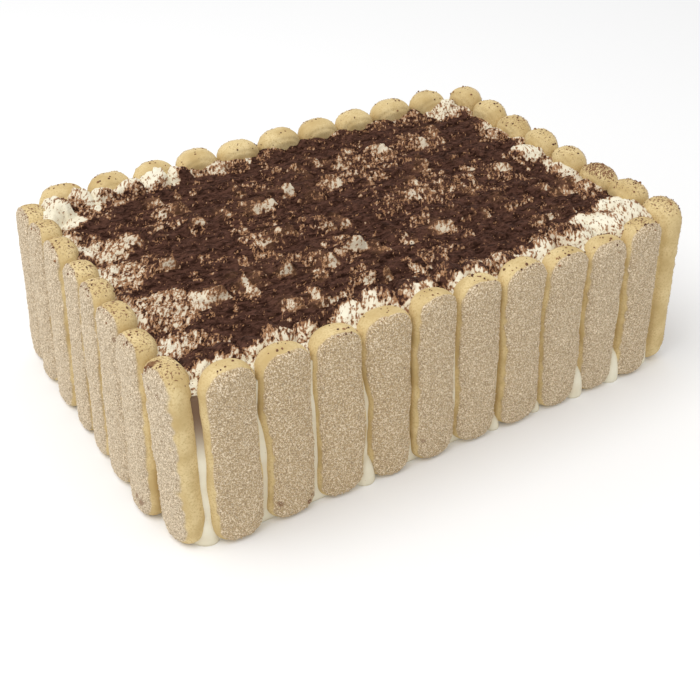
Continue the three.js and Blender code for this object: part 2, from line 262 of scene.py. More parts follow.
# The angular lobes of bare cream behind the biscuits: place, radius and height, in millimetres.
LOBES = (
    (-141, -91, 9, 7), (-126, -91, 11, 9), (-111, -90, 8, 8), (-96, -91, 10, 9),
    (-80, -90, 8, 7), (-56, -91, 11, 8.5), (-38, -90, 13, 9), (-15, -91, 15, 9),
    (9, -91, 13, 9), (28, -90, 12, 8), (45, -91, 11, 8), (59, -90, 8, 7),
    (71, -91, 10, 8), (96, -90, 14, 9), (121, -90, 15, 9), (141, -89, 14, 9),
    (112, -76, 9, 5), (133, -76, 12, 6.5), (147, -72, 8, 5), (147, -45, 8, 4),
    (147, -20, 9, 4.5), (141, 8, 13, 8), (147, 25, 8, 5), (147, 45, 9, 5),
    (147, 65, 8, 4), (146, 85, 9, 5.5), (138, 97, 11, 7), (112, 98, 10, 5),
    (88, 98, 9, 3.5), (60, 99, 9, 3), (30, 99, 9, 3), (5, 98, 8, 4),
    (-20, 99, 8, 3), (-38, 98, 9, 5), (-62, 97, 9, 8), (-78, 97, 10, 9),
    (-95, 98, 10, 8.5), (-112, 97, 9, 8), (-126, 97, 10, 9.5), (-142, 95, 11, 10),
    (-150, 84, 9, 8), (-147, 60, 8, 4), (-148, 34, 9, 5), (-147, 10, 8, 4),
    (-147, -15, 8, 3.5), (-147, -40, 9, 4), (-147, -65, 8, 4), (-148, -84, 8, 5),
)
LOBE_RAGGED = 0.18
LOBE_FINE = 0.6  # share of finer noise in its outline
LOBE_CELL = 6 * MM
LOBE_POWER = 2.8  # how flat its top is
LOBE_TILT = 0.35
LOBE_JAG = 0.08  # share of its height by which its top is torn up
JAG_CELL = 2.6 * MM

# The field of cocoa, its ragged rim, and where the cocoa came down from: a face turned away catches less.
FIELD_LOW = (-144 * MM, -90 * MM)
FIELD_HIGH = (148 * MM, 101 * MM)
FIELD_RAGGED = 9 * MM
FIELD_FINE = 0.5  # share of finer noise in its rim
FIELD_CELL = 14 * MM
FIELD_SOFT = 9 * MM
RIM_COVER = 0.03  # outside the field
DUST_FROM = (0.28, 0.34, 1.0)
CATCH_SLOPES = (-0.1, 0.45)  # cosines of that turn, from the least caught to all
LEAST_CAUGHT = 0.35  # by the steepest fronts
FLECK_TURN = -32  # degrees from the Y axis, the way that the flecks and streaks run
FLECK_STRETCH = 4.2
STROKE_TURN = 80  # degrees from the Y axis, the way that the spatula went
STROKE_STRETCH = 2.2
FLAME_WIDE = 2.2 * MM
FLAME_LONG = 9 * MM
FLAME_DEPTH = 0.4
FULL_BARE = 1.4  # clean from here on
PATCH_CELL = 15 * MM
PATCH_DEPTH = 0.5
PATCH_FINE = 0.8  # share of finer noise in it
PATCH_SPAN = (0.15, 0.6)  # noise from covered to thin
PATCH_RAGGED = 0.35
PATCH_EDGE = (1.2, 0.6)  # of its radius, from covered to bare
# Patches where the cocoa lies thin: place and radius in millimetres, and how bare.
BARE_PATCHES = (
    (-131, -36, 22, 0.7), (-143, 82, 15, 1.2), (-120, 98, 14, 1.0), (-98, 99, 11, 1.0),
    (-78, 98, 14, 1.05), (-36, 101, 14, 0.8), (0, 95, 8, 0.4), (-134, 34, 17, 0.8),
    (-134, 6, 16, 0.7), (-138, -66, 14, 0.7), (141, 8, 12, 1.15), (146, -22, 11, 0.6),
    (145, 42, 12, 0.6), (137, 95, 14, 0.95), (110, 96, 14, 0.5), (139, -82, 19, 1.12),
    (110, -90, 15, 1.1), (78, -91, 12, 0.6), (45, 57, 16, 0.4), (92, 60, 18, 0.4),
    (12, 38, 12, 0.4), (60, 0, 18, 0.35), (25, -8, 15, 0.3), (112, -2, 12, 0.5),
)

# Loose specks and grains: the cover among which most specks lie on the cream, how far below a biscuit's top
# they lie, and the spread of their sizes and of their three measures.
SPECK_COVER = 0.45
SPECK_SPREAD = 0.25
SPECK_LEAST = 0.08
SPECK_REACH = (16 * MM, 3 * MM)
SPECK_SIZES = (0.3, 1)
SPECK_SHAPES = (0.35, 1.4)
BISCUIT_SPECK = 1.5  # the size of a speck on a biscuit, over that of one on the cream
GRAIN_SHAPES = (0.6, 1.25)
GRAIN_SHADE = 0.72  # of its light, in its darker parts

# Where one look of a material gives way to the next, in noise and cover, and the weights in that cover.
CRUST_STOPS = (0.37, 0.48, 0.52, 0.62)
PORE_SPAN = (0.46, 0.68)
DUST_SPAN = (1.98, 2.2)
DUST_GRAIN = 2.4
DUSTY_SPAN = (-0.1, 0.6)
VEIL_SPAN = (1.55, 1.95)
DENSE_SPAN = (2.0, 2.25)
COVER_GRAIN = 3.2
COVER_WEIGHT = 1.3

# Noise in space: the size of its table, a large prime for each axis, and how much finer its finer part is.
NOISE_TABLE = 4096
NOISE_PRIMES = np.array((73856093, 19349663, 83492791))
NOISE_FINER = 3

# The camera's turns in degrees, its place and lens, and the stage in metres.
VIEW_TURNS = ((-32.3, "Z"), (54.59, "X"), (0.33, "Z"))
VIEW_PLACE = (-307.3 * MM, -490.8 * MM, 412.6 * MM)
VIEW_LENS = 57.72
VIEW_SENSOR = 36.0
FLOOR_SIZE = 4.0
LAMP_PLACE = (-0.7, 0.0, 1.4)


def length(name, default, description):
    """A size that a user may change."""
    return FloatProperty(name=name, description=description, default=default * MM, min=0, unit="LENGTH")


def colour(name, default, description):
    """A colour that a user may change."""
    return FloatVectorProperty(
        name=name, description=description, default=default, size=3, min=0, max=1, subtype="COLOR"
    )


def count(name, default, description):
    """A number of like things that a user may change."""
    return IntProperty(name=name, description=description, default=default, min=0)


class LadyfingerSettings(bpy.types.PropertyGroup):
    """Sizes and colours of the ladyfingers."""

    crust_turn: FloatProperty(
        name="Crust turn",
        description="How far round a biscuit's face its sugar crust reaches",
        default=math.radians(40),
        subtype="ANGLE",
    )
    crust_height: length("Crust height", 0.55, "How far the sugar crust stands out from the biscuit")
    grain_depth: length("Grain depth", 0.26, "Roughness of the sugar crust")
    crease_depth: length("Crease depth", 0.45, "Depth of the fold round a biscuit's back")
    golden: colour("Golden", (0.72, 0.565, 0.295), "Baked sides of a biscuit")
    toasted: colour("Toasted", (0.53, 0.38, 0.165), "Where a biscuit is baked darker")
    sugar: colour("Sugar", (0.52, 0.42, 0.29), "Sugar crust")
    sugar_light: colour("Sugar in light", (0.85, 0.72, 0.54), "Grains of the crust that catch the light")
    sugar_warm: colour("Warm sugar", (0.46, 0.325, 0.165), "Crust of the browner biscuits")
    sugar_shade: colour("Sugar in shade", (0.33, 0.245, 0.155), "Between the grains of the crust")
    mark: colour("Mark", (0.16, 0.06, 0.02), "Burnt spots")
    dust: colour("Dust", (0.2, 0.09, 0.04), "Cocoa that fell on a biscuit")


class SugarSettings(bpy.types.PropertyGroup):
    """Size, number and colour of the loose sugar grains."""

    grains: count("Grains", 22000, "Sugar grains on all the biscuits together")
    size: length("Size", 0.75, "A sugar grain across")
    tint: colour("Tint", (0.8, 0.68, 0.5), "Sugar grains")


class CreamSettings(bpy.types.PropertyGroup):
    """Colours of the cream."""

    cream: colour("Cream", (0.85, 0.8, 0.64), "Whipped cream")
    cream_shade: colour("Cream in shade", (0.78, 0.71, 0.54), "Hollows in the cream")


class CocoaSettings(bpy.types.PropertyGroup):
    """Colours, sizes and numbers of the cocoa."""

    dense: colour("Dense", (0.02, 0.0065, 0.003), "Thick cocoa")
    loose: colour("Loose", (0.1, 0.045, 0.03), "Cocoa where it lies thinner")
    dusty: colour("Dusty", (0.56, 0.42, 0.3), "Cream under a breath of cocoa")
    thin: colour("Thin", (0.34, 0.175, 0.085), "Cocoa that lets the cream through")
    speck_size: length("Speck size", 1.1, "A speck of cocoa across")
    cream_specks: count("Specks on the cream", 6500, "Specks of cocoa on the cream")


class StageSettings(bpy.types.PropertyGroup):
    """Floor and light."""

    floor: colour("Floor", (0.93, 0.93, 0.93), "Floor")
    sky: FloatProperty(name="Sky", description="Strength of the light from all round", default=0.8, min=0)
    key: FloatProperty(name="Key", description="Power of the lamp above", default=12, min=0, unit="POWER")
    key_size: length("Key size", 1100, "Side of the lamp")


SETTINGS = {
    "ladyfinger": LadyfingerSettings,
    "sugar": SugarSettings,
    "cream": CreamSettings,
    "cocoa": CocoaSettings,
    "stage": StageSettings,
}


# Numbers


def smoothstep(low, high, value):
    """From 0 at low to 1 at high, level at both ends."""
    share = np.clip((value - low) / (high - low), 0, 1)
    return share * share * (3 - 2 * share)


def noise(points, cell, seed):
    """Smooth noise from -1 to 1, with lumps about one cell across, at points of one to three coordinates."""
    table = np.random.default_rng(seed).uniform(-1, 1, NOISE_TABLE)
    scaled = points / cell
    base = np.floor(scaled).astype(np.int64)
    part = scaled - base
    part = part * part * (3 - 2 * part)
    primes = NOISE_PRIMES[: points.shape[1]]
    total = np.zeros(len(points))
    for corner in itertools.product((0, 1), repeat=points.shape[1]):
        place = np.bitwise_xor.reduce((base + corner) * primes, axis=1) % NOISE_TABLE
        weight = np.prod(np.where(corner, part, 1 - part), axis=1)
        total += weight * table[place]
    return total


def layered_noise(points, cell, seed, fine):
    """Noise with a share of finer noise on it."""
    return noise(points, cell, seed) + fine * noise(points, cell / NOISE_FINER, seed + 1)


def rounded(from_end, radius):
    """Share of the full size that is left at a distance from a rounded end."""
    past = np.clip(1 - from_end / radius, 0, 1)
    return (1 - past**END_POWER) ** (1 / END_POWER)


def turned(points, degrees):
    """Points turned about the upright axis."""
    angle = math.radians(degrees)
    cosine, sine = math.cos(angle), math.sin(angle)
    x = points[:, 0] * cosine - points[:, 1] * sine
    y = points[:, 0] * sine + points[:, 1] * cosine
    return np.column_stack((x, y, points[:, 2:]))


# Meshes


def read(items, field, width):
    """A field of a mesh's items, with a row for each of them."""
    values = np.empty(len(items) * width, np.float32)
    items.foreach_get(field, values)
    return values.reshape(-1, width).astype(float)


def get_points(mesh):
    """The mesh's vertices as an array."""
    return read(mesh.vertices, "co", 3)


def get_normals(mesh):
    """The normal at each of the mesh's vertices."""
    return read(mesh.vertex_normals, "vector", 3)


def get_attribute(mesh, name):
    """The numbers stored at the mesh's vertices."""
    return read(mesh.attributes[name].data, "value", 1)[:, 0]


def set_points(mesh, points):
    """Moves the mesh's vertices."""
    mesh.vertices.foreach_set("co", points.astype(np.float32).ravel())
    mesh.update()


def set_attribute(mesh, name, values):
    """Stores one number at each vertex for the materials."""
    attribute = mesh.attributes.get(name) or mesh.attributes.new(name, "FLOAT", "POINT")
    attribute.data.foreach_set("value", values.astype(np.float32))


def mesh_from(bm, name):
    """A bmesh as a new mesh."""
    mesh = bpy.data.meshes.new(name)
    bm.to_mesh(mesh)
    bm.free()
    return mesh


def simple_mesh(name, operator, **sizes):
    """A mesh that a single operator makes."""
    bm = bmesh.new()
    operator(bm, **sizes)
    return mesh_from(bm, name)


def raise_made(bm, made, height):
    """Raises the vertices that an extrusion made."""
    verts = [part for part in made["geom"] if isinstance(part, bmesh.types.BMVert)]
    bmesh.ops.translate(bm, vec=(0, 0, height), verts=verts)


def add_piece(name, mesh, finish, slot, *nodes):
    """Adds a finished piece to the cake, standing for these nodes of the frame."""
    mesh.materials.append(finish)
    piece = bpy.data.objects.new(name, mesh)
    bpy.context.scene.collection.objects.link(piece)
    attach(piece, BODY)
    if nodes:
        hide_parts(*nodes)


def scatter(name, grain, places, sizes, rng):
    """One mesh of many copies of a small grain, each turned at random and scaled by its three sizes."""
    points = get_points(grain)
    faces = np.array([polygon.vertices[:] for polygon in grain.polygons])
    spins = rng.normal(size=(len(places), 4))
    spins /= np.linalg.norm(spins, axis=1, keepdims=True)
    share, axis = spins[:, :1, None], spins[:, None, 1:]
    scaled = points[None] * sizes[:, None]
    moved = scaled + 2 * np.cross(axis, np.cross(axis, scaled) + share * scaled) + places[:, None]
    starts = np.arange(len(places)) * len(points)
    corners = faces[None] + starts[:, None, None]
    mesh = bpy.data.meshes.new(name)
    mesh.from_pydata(moved.reshape(-1, 3), [], corners.reshape(-1, faces.shape[1]))
    bpy.data.meshes.remove(grain)
    return mesh


# Materials


class Finish:
    """A node material in the making."""

    def __init__(self, name, roughness, specular=0.5):
        self.material = bpy.data.materials.new(name)
        self.material.use_nodes = True
        self.tree = self.material.node_tree
        self.shader = self.tree.nodes["Principled BSDF"]
        self.shader.inputs["Roughness"].default_value = roughness
        self.shader.inputs["Specular IOR Level"].default_value = specular
        self.coordinates = self.tree.nodes.new("ShaderNodeTexCoord").outputs["Object"]

    def feed(self, socket, source):
        """Links a socket to another one, or sets its value."""
        if isinstance(source, bpy.types.NodeSocket):
            self.tree.links.new(source, socket)
        else:
            socket.default_value = source

    def node(self, kind, inputs):
        """A new node of a kind, with its inputs linked or set."""
        node = self.tree.nodes.new(f"ShaderNode{kind}")
        for name, source in inputs.items():
            self.feed(node.inputs[name], source)
        return node

    def noise(self, scale, detail=2.0, roughness=0.5, distortion=0.0, vector=None):
        """Noise with so many lumps to a metre."""
        inputs = {"Scale": scale, "Detail": detail, "Roughness": roughness, "Distortion": distortion}
        return self.node("TexNoise", {**inputs, "Vector": vector or self.coordinates}).outputs["Fac"]

    def streaks(self, scale, stretch, degrees, detail, roughness):
        """Noise drawn out so many times along a level line at a turn from the Y axis."""
        turn = (0, 0, math.radians(degrees))
        node = self.node("Mapping", {"Rotation": turn, "Scale": (1, stretch, 1), "Vector": self.coordinates})
        node.vector_type = "TEXTURE"
        return self.noise(scale, detail, roughness, vector=node.outputs["Vector"])

    def attribute(self, name):
        """A number stored at the vertices."""
        node = self.node("Attribute", {})
        node.attribute_name = name
        return node.outputs["Fac"]

    def ramp(self, factor, stops):
        """A colour from stops of place and colour."""
        node = self.node("ValToRGB", {"Fac": factor})
        elements = node.color_ramp.elements
        while len(elements) < len(stops):
            elements.new(1)
        for element, (place, tint) in zip(elements, stops):
            element.position = place
            element.color = (*tint, 1)
        return node.outputs["Color"]

    def mix(self, factor, first, second):
        """A colour from a first one, made by nodes, to a second, made by nodes or set."""
        node = self.node("Mix", {"Factor": factor})
        node.data_type = "RGBA"
        sockets = [socket for socket in node.inputs if socket.type == "RGBA"]
        is_set = not isinstance(second, bpy.types.NodeSocket)
        self.feed(sockets[0], first)
        self.feed(sockets[1], (*second, 1) if is_set else second)
        return next(socket for socket in node.outputs if socket.type == "RGBA")

    def math(self, operation, *sources):
        """A calculation on numbers or sockets."""
        node = self.node("Math", {})
        node.operation = operation
        for socket, source in zip(node.inputs, sources):
            self.feed(socket, source)
        return node.outputs["Value"]

    def span(self, value, limits):
        """A number brought from between two limits to between 0 and 1, smoothly."""
        node = self.node("MapRange", {"Value": value, "From Min": limits[0], "From Max": limits[1]})
        node.interpolation_type = "SMOOTHSTEP"
        return node.outputs["Result"]

    def bump(self, height, distance, strength):
        """Fine relief."""
        node = self.node("Bump", {"Height": height, "Distance": distance, "Strength": strength})
        self.feed(self.shader.inputs["Normal"], node.outputs["Normal"])

    def paint(self, tint):
        """Gives the shader its colour."""
        self.feed(self.shader.inputs["Base Color"], tint)
        return self.material


def crust_tint(finish, grains, settings, tone):
    """The sugar crust of a tone, from the dark between its grains to the lit grains."""
    tints = settings.sugar_shade, tone, tone, settings.sugar_light
    return finish.ramp(grains, tuple(zip(CRUST_STOPS, tints)))


def biscuit_finish(settings):
    """Golden biscuit with a grainy sugar crust on its face and a few burnt marks."""
    finish = Finish("biscuit", roughness=0.75, specular=0.25)
    baking = finish.noise(70, detail=3)
    golden = finish.ramp(baking, ((0.3, settings.toasted), (0.62, settings.golden)))
    pores = finish.span(finish.noise(900, detail=3, roughness=0.7), PORE_SPAN)
    golden = finish.mix(pores, golden, settings.toasted)
    grains = finish.noise(1300, roughness=0.6, distortion=0.8)
    pale = crust_tint(finish, grains, settings, settings.sugar)
    warm = crust_tint(finish, grains, settings, settings.sugar_warm)
    sugar = finish.mix(finish.attribute("warm"), pale, warm)
    tint = finish.mix(finish.attribute("sugar"), golden, sugar)
    powder = finish.noise(850, detail=3, roughness=0.7)
    dust = finish.math("MULTIPLY_ADD", powder, DUST_GRAIN, finish.attribute("dust"))
    tint = finish.mix(finish.span(dust, DUST_SPAN), tint, settings.dust)
    tint = finish.mix(finish.attribute("mark"), tint, settings.mark)
    finish.bump(finish.noise(1400), distance=0.2 * MM, strength=0.35)
    return finish.paint(tint)


def sugar_finish(settings):
    """Sugar grains that catch the light."""
    finish = Finish("sugar", roughness=0.35)
    shades = finish.noise(400, detail=1)
    darker = [GRAIN_SHADE * part for part in settings.tint]
    return finish.paint(finish.ramp(shades, ((0.35, darker), (0.65, settings.tint))))


def cream_finish(cream, cocoa):
    """Whipped cream, dusted with cocoa where its attribute says so."""
    finish = Finish("cream", roughness=0.6, specular=0.05)
    body = finish.ramp(finish.noise(60, detail=3), ((0.35, cream.cream_shade), (0.6, cream.cream)))
    body = finish.mix(finish.span(finish.attribute("cocoa"), DUSTY_SPAN), body, cocoa.dusty)
    speckle = finish.streaks(640, FLECK_STRETCH, FLECK_TURN, detail=2, roughness=0.6)
    speckle = finish.math("MULTIPLY", speckle, COVER_GRAIN)
    cover = finish.math("MULTIPLY_ADD", finish.attribute("cocoa"), COVER_WEIGHT, speckle)
    strokes = finish.streaks(420, STROKE_STRETCH, STROKE_TURN, detail=4, roughness=0.7)
    shade = finish.ramp(strokes, ((0.4, cocoa.dense), (0.62, cocoa.loose)))
    veil = finish.mix(finish.span(cover, VEIL_SPAN), body, cocoa.thin)
    tint = finish.mix(finish.span(cover, DENSE_SPAN), veil, shade)
    # Brown on the bare ledges and in the gap at the near corner: partly cocoa, partly painted shade.
    tint = finish.mix(finish.attribute("brown"), tint, cocoa.thin)
    # Painted shadow, dark with cocoa that fell in, in the gap at the near corner.
    tint = finish.mix(finish.attribute("stain"), tint, cocoa.dense)
    finish.bump(finish.noise(1000, detail=3), distance=0.25 * MM, strength=0.6)
    return finish.paint(tint)


def cocoa_finish(settings):
    """Specks of cocoa."""
    finish = Finish("cocoa", roughness=0.85, specular=0.15)
    return finish.paint(finish.ramp(finish.noise(300), ((0.4, settings.loose), (0.65, settings.thin))))


# Ladyfingers


def finger_nodes():
    """The names of the biscuits in the frame."""
    return sorted(name for name in frame["nodes"] if name.startswith("ladyfinger_"))


def finger_sphere():
    """The sphere that every biscuit is shaped from, with the row and the column of each vertex."""
    sizes = {"u_segments": FINGER_COLUMNS, "v_segments": FINGER_ROWS, "radius": 1}
    mesh = simple_mesh("biscuit", bmesh.ops.create_uvsphere, **sizes)
    points = get_points(mesh)
    row = np.rint(np.arccos(np.clip(points[:, 2], -1, 1)) / math.pi * FINGER_ROWS).astype(int)
    around = np.arctan2(points[:, 1], points[:, 0]) / (2 * math.pi) * FINGER_COLUMNS
    return mesh, row, np.rint(around).astype(int) % FINGER_COLUMNS


def finger_section():
    """Places round a biscuit's section, evenly spaced and closer on its face, for a half width of 1."""
    angle = np.linspace(-math.pi, math.pi, SECTION_STEPS)
    faces_out = angle < 0
    power = np.where(faces_out, FACE_POWER, BACK_POWER)
    depth = np.where(faces_out, FACE_SHARE, 1 - FACE_SHARE)
    wide = np.sign(np.cos(angle)) * np.abs(np.cos(angle)) ** (2 / power)
    deep = np.sign(angle) * np.abs(np.sin(angle)) ** (2 / power) * depth
    steps = np.hypot(np.diff(wide), np.diff(deep) * SECTION_DEPTH) * np.where(faces_out[1:], 1, BACK_DENSITY)
    along = np.concatenate(([0], np.cumsum(steps)))
    places = np.arange(FINGER_COLUMNS) / FINGER_COLUMNS * along[-1]
    return np.interp(places, along, wide), np.interp(places, along, deep)


def finger_levels(full):
    """Distance of each row from a biscuit's upper end, for its full length."""
    turn = np.linspace(0, math.pi / 2, END_ROWS + 1)
    end = END_ROUND_WIDE * (1 - np.cos(turn) ** (2 / END_POWER))
    middle = np.linspace(END_ROUND_WIDE, full - END_ROUND_WIDE, FINGER_ROWS - 2 * END_ROWS + 1)
    return np.concatenate((end[:-1], middle, full - end[-2::-1]))


def measured_edges(points, top, seed):
    """A solid biscuit's left, right and outer edges as functions of height, without its rounded ends."""
    levels, lefts, rights, upright = [], [], [], []
    for height in np.unique(points[:, 2].round(RING_DIGITS)):
        from_end = min(height + FOOT_CUT, top - height)
        if from_end < NEAR_END:
            continue
        ring = points[np.isclose(points[:, 2], height, atol=10.0**-RING_DIGITS)]
        across = ring[:, 0]
        middle = (across.min() + across.max()) / 2
        half = np.ptp(across) / 2 / rounded(from_end, END_ROUND_WIDE)
        levels.append(height)
        lefts.append(middle - half)
        rights.append(middle + half)
        if from_end > END_ROUND_DEEP:
            upright.append((height, ring[:, 1].min()))
    heights = np.arange(-BLUR_MARGIN * EDGE_BLUR, top + BLUR_MARGIN * EDGE_BLUR, EDGE_STEP)
    steps = round(BLUR_REACH * EDGE_BLUR / EDGE_STEP)
    kernel = np.exp(-0.5 * (np.arange(-steps, steps + 1) * EDGE_STEP / EDGE_BLUR) ** 2)
    edges = []
    for side, values in enumerate((lefts, rights)):
        wobble = EDGE_WOBBLE * noise(heights[:, None], EDGE_CELL, (seed, side))
        edge = np.interp(heights, levels, values)
        padded = np.pad(edge, steps, mode="edge")
        edge = np.convolve(padded, kernel / kernel.sum(), mode="valid") + wobble
        edges.append(lambda z, edge=edge: np.interp(z, heights, edge))
    return (*edges, np.poly1d(np.polyfit(*np.transpose(upright), 1)))


def outline_distance(x, z, outline_x, outline_z):
    """How far inside a biscuit's outline each place is, seen from the front."""
    return np.min(np.hypot(x[:, None] - outline_x[None], z[:, None] - outline_z[None]), axis=1)


def along_row(values, place):
    """What a biscuit has at its place in a row."""
    side, number = place.split("_")
    start, gain, power = values[side]
    return start + gain * (int(number) / LONG_ROW) ** power


def baked_marks(place, across, height, rough):
    """How dark its marks from baking make a biscuit, from 0 to 1."""
    mark = np.zeros(len(across))
    for marked, mark_across, mark_height, radius, dark in BAKED_MARKS:
        if marked == place:
            far = np.hypot(across - mark_across * MM, height - mark_height * MM) / (radius * MM)
            mark = np.maximum(mark, dark * smoothstep(*MARK_EDGE, far * rough))
    return mark


def shape_finger(name, sphere, section, settings, seed):
    """One biscuit as a mesh, from the solid of that name."""
    template, row, column = sphere
    rng = np.random.default_rng((seed, 3))
    place = name.split("_", 1)[1]
    side, number = place.split("_")
    turn = ROW_TURNS[side]
    solid = turned(get_points(frame["nodes"][name].data), -turn)
    top = solid[:, 2].max()
    left, right, outer = measured_edges(solid, top, seed)
    widest = FACE_SHARE * FINGER_THICKNESS + SET_BACK.get(place, STAND_OUT * rng.uniform(-1, 1))
    twist = math.radians(SET_TWISTS.get(place, rng.uniform(-TWIST, TWIST)))

    from_top = finger_levels(top + FOOT_CUT)
    from_end = np.minimum(from_top, from_top[-1] - from_top)
    level = np.maximum(top - from_top, 0)
    wide, deep = rounded(from_end, END_ROUND_WIDE), rounded(from_end, END_ROUND_DEEP)
    middle = (left(level) + right(level)) / 2
    half = (right(level) - left(level)) / 2
    across = section[0][column] * (wide * half)[row]
    back = section[1][column] * FINGER_THICKNESS * deep[row]
    x = middle[row] + across * math.cos(twist) - back * math.sin(twist)
    y = widest + outer(level)[row] + across * math.sin(twist) + back * math.cos(twist)
    z = level[row]
    mesh = template.copy()
    points = np.column_stack((x, y, z))
    set_points(mesh, points)
    normals = get_normals(mesh)

    rim_x = np.concatenate((middle - wide * half, middle + wide * half))
    inset = outline_distance(middle[row] + across, z, rim_x, np.concatenate((level, level)))
    faces_out = section[1][column] < 0
    outward = normals[:, 0] * math.sin(twist) - normals[:, 1] * math.cos(twist)
    wobble = CRUST_WOBBLE * noise(points, CRUST_CELL, (seed, 2))
    outward += wobble + CRUST_RISE * np.clip(normals[:, 2], 0, None)
    crust_turn = settings.crust_turn - LESS_CRUST.get(place, 0)
    sugar = smoothstep(-CRUST_SOFT, CRUST_SOFT, outward - math.cos(crust_turn))
    grains = settings.grain_depth * (rng.uniform(-1, 1, len(x)) + noise(points, LUMP_CELL, (seed, 4)))
    swell = FACE_SWELL * noise(points, FACE_CELL, (seed, 5))
    skin = SKIN_SWELL * noise(points, SKIN_CELL, (seed, 6)) + PORE_DEPTH * noise(points, PORE_CELL, (seed, 8))
    crease = ~faces_out * settings.crease_depth * np.exp(-(((inset - CREASE_INSET) / CREASE_WIDE) ** 2))
    lift = sugar * (settings.crust_height + grains + swell) + (1 - sugar) * (skin - crease)
    points += normals * lift[:, None]
    points[:, 2] = np.where(z > 0, np.maximum(points[:, 2], 0), 0)
    set_points(mesh, turned(points, turn))

    rough = 1 + MARK_ROUGH * noise(points, MARK_CELL, (seed, 7))
    set_attribute(mesh, "sugar", sugar)
    set_attribute(mesh, "mark", baked_marks(place, across, z, rough) * faces_out)
    warmth = FRONT_WARMTH[int(number) - 1] if side == "front" else 0
    set_attribute(mesh, "warm", np.full(len(x), warmth))
    powdered = smoothstep(top - DUST_REACH, top, z) * np.clip(normals[:, 2] + DUST_LEVEL, 0, 1)
    amount = along_row(DUST_AMOUNTS, place) + MORE_DUST.get(place, 0)
    set_attribute(mesh, "dust", amount * powdered)
    golden = sugar <= 0.5
    mesh.polygons.foreach_set("use_smooth", [golden[face.vertices[0]] for face in mesh.polygons])
    return mesh


class CAKE_OT_ladyfingers(bpy.types.Operator):
    """Shapes the ladyfingers round the cake, sugared on their outer faces."""

    bl_idname = "cake.ladyfingers"
    bl_label = "Ladyfingers"

    def execute(self, context):
        settings = context.scene.cake_ladyfinger
        finish = biscuit_finish(settings)
        sphere = finger_sphere()
        section = finger_section()
        for seed, name in enumerate(finger_nodes()):
            mesh = shape_finger(name, sphere, section, settings, seed)
            add_piece(name.replace("ladyfinger", "biscuit"), mesh, finish, "biscuit", name)
        bpy.data.meshes.remove(sphere[0])
        return {"FINISHED"}


def biscuits():
    """The finished biscuits, in order."""
    return [bpy.data.objects[name.replace("ladyfinger", "biscuit")] for name in finger_nodes()]


class CAKE_OT_sugar(bpy.types.Operator):
    """Scatters sugar grains over the crusts of the ladyfingers."""

    bl_idname = "cake.sugar"
    bl_label = "Sugar grains"

    def execute(self, context):
        settings = context.scene.cake_sugar
        rng = np.random.default_rng(seed=41)
        crusts = []
        for piece in biscuits():
            points = get_points(piece.data)
            crusts.append(points[get_attribute(piece.data, "sugar") > CRUST_FULL])
        crust = np.concatenate(crusts)
        places = crust[rng.choice(len(crust), settings.grains, replace=False)]
        sizes = settings.size / 2 * rng.uniform(*GRAIN_SHAPES, (settings.grains, 3))
        grain = simple_mesh("grain", bmesh.ops.create_uvsphere, u_segments=4, v_segments=2, radius=1)
        mesh = scatter("sugar_grains", grain, places, sizes, rng)
        add_piece("sugar_grains", mesh, sugar_finish(settings), "biscuit")
        return {"FINISHED"}


# Cream


def block_outline(places):
    """Points at shares of the way round the block of cream, with round corners."""
    quarter = math.pi / 2 * CREAM_CORNER
    runs = np.array((2 * CREAM_STRAIGHT[1], quarter, 2 * CREAM_STRAIGHT[0], quarter) * 2)
    ends = np.cumsum(runs)
    along = places * ends[-1]
    run = np.searchsorted(ends, along, side="right")
    past = along - (ends - runs)[run]
    side, curved = np.divmod(run, 2)
    angle = math.pi / 2 * side + curved * past / CREAM_CORNER
    out = np.column_stack((np.cos(angle), np.sin(angle)))
    way = np.column_stack((-np.sin(angle), np.cos(angle)))
    middles = np.array(((1, 1), (-1, 1), (-1, -1), (1, -1))) * CREAM_STRAIGHT
    return middles[side - 1 + curved] + CREAM_CORNER * out + ((1 - curved) * past)[:, None] * way


def cream_block():
    """The block of cream, whose wall swells a little and oozes out at the foot of the front gaps, with shadow
    and cocoa painted into the gap at the near corner.
    """
    bm = bmesh.new()
    made = bmesh.ops.create_circle(bm, segments=WALL_COLUMNS, radius=1, cap_ends=True)
    for i, place in enumerate(block_outline(np.arange(WALL_COLUMNS) / WALL_COLUMNS)):
        made["verts"][i].co = (*place, 0)
    bm.normal_update()
    upper = bmesh.ops.extrude_face_region(bm, geom=bm.faces[:], use_keep_orig=True)
    raise_made(bm, upper, CREAM_SHOULDER)
    upright = [edge for edge in bm.edges if abs(edge.verts[0].co.z - edge.verts[1].co.z) > CREAM_SHOULDER / 2]
    bmesh.ops.subdivide_edges(bm, edges=upright, cuts=WALL_ROWS - 1, use_grid_fill=True)
    bmesh.ops.recalc_face_normals(bm, faces=bm.faces[:])
    mesh = mesh_from(bm, "cream_block")

    points = get_points(mesh)
    out = points[:, :2] - np.clip(points[:, :2], -CREAM_STRAIGHT, CREAM_STRAIGHT)
    out /= np.linalg.norm(out, axis=1, keepdims=True)
    swell = WALL_SWELL * noise(points, WALL_CELL, seed=51)
    for across, wide, deep, tall in OOZE_DABS:
        far = ((points[:, 0] / MM - across) / wide) ** 2 + (points[:, 2] / MM / tall) ** 2
        dab = deep * MM * np.sqrt(np.clip(1 - far, 0, None)) * (points[:, 1] < 0)
        swell = np.maximum(swell, dab)
    points[:, :2] += out * swell[:, None]
    set_points(mesh, points)
    # Painted shadow, with cocoa that fell in, darkens the gap at the near corner.
    corner = np.hypot(*(points[:, :2] + CAKE_HALF - GAP_SHADE_INSET).T)
    streak = smoothstep(*GAP_SHADE_FADE, corner) * smoothstep(*GAP_SHADE_HEIGHTS, points[:, 2])
    set_attribute(mesh, "brown", GAP_SHADE_BROWN * streak)
    set_attribute(mesh, "stain", GAP_SHADE_DARK * streak)
    set_attribute(mesh, "cocoa", np.full(len(points), CLEAN_COVER))
    mesh.shade_smooth()
    return mesh


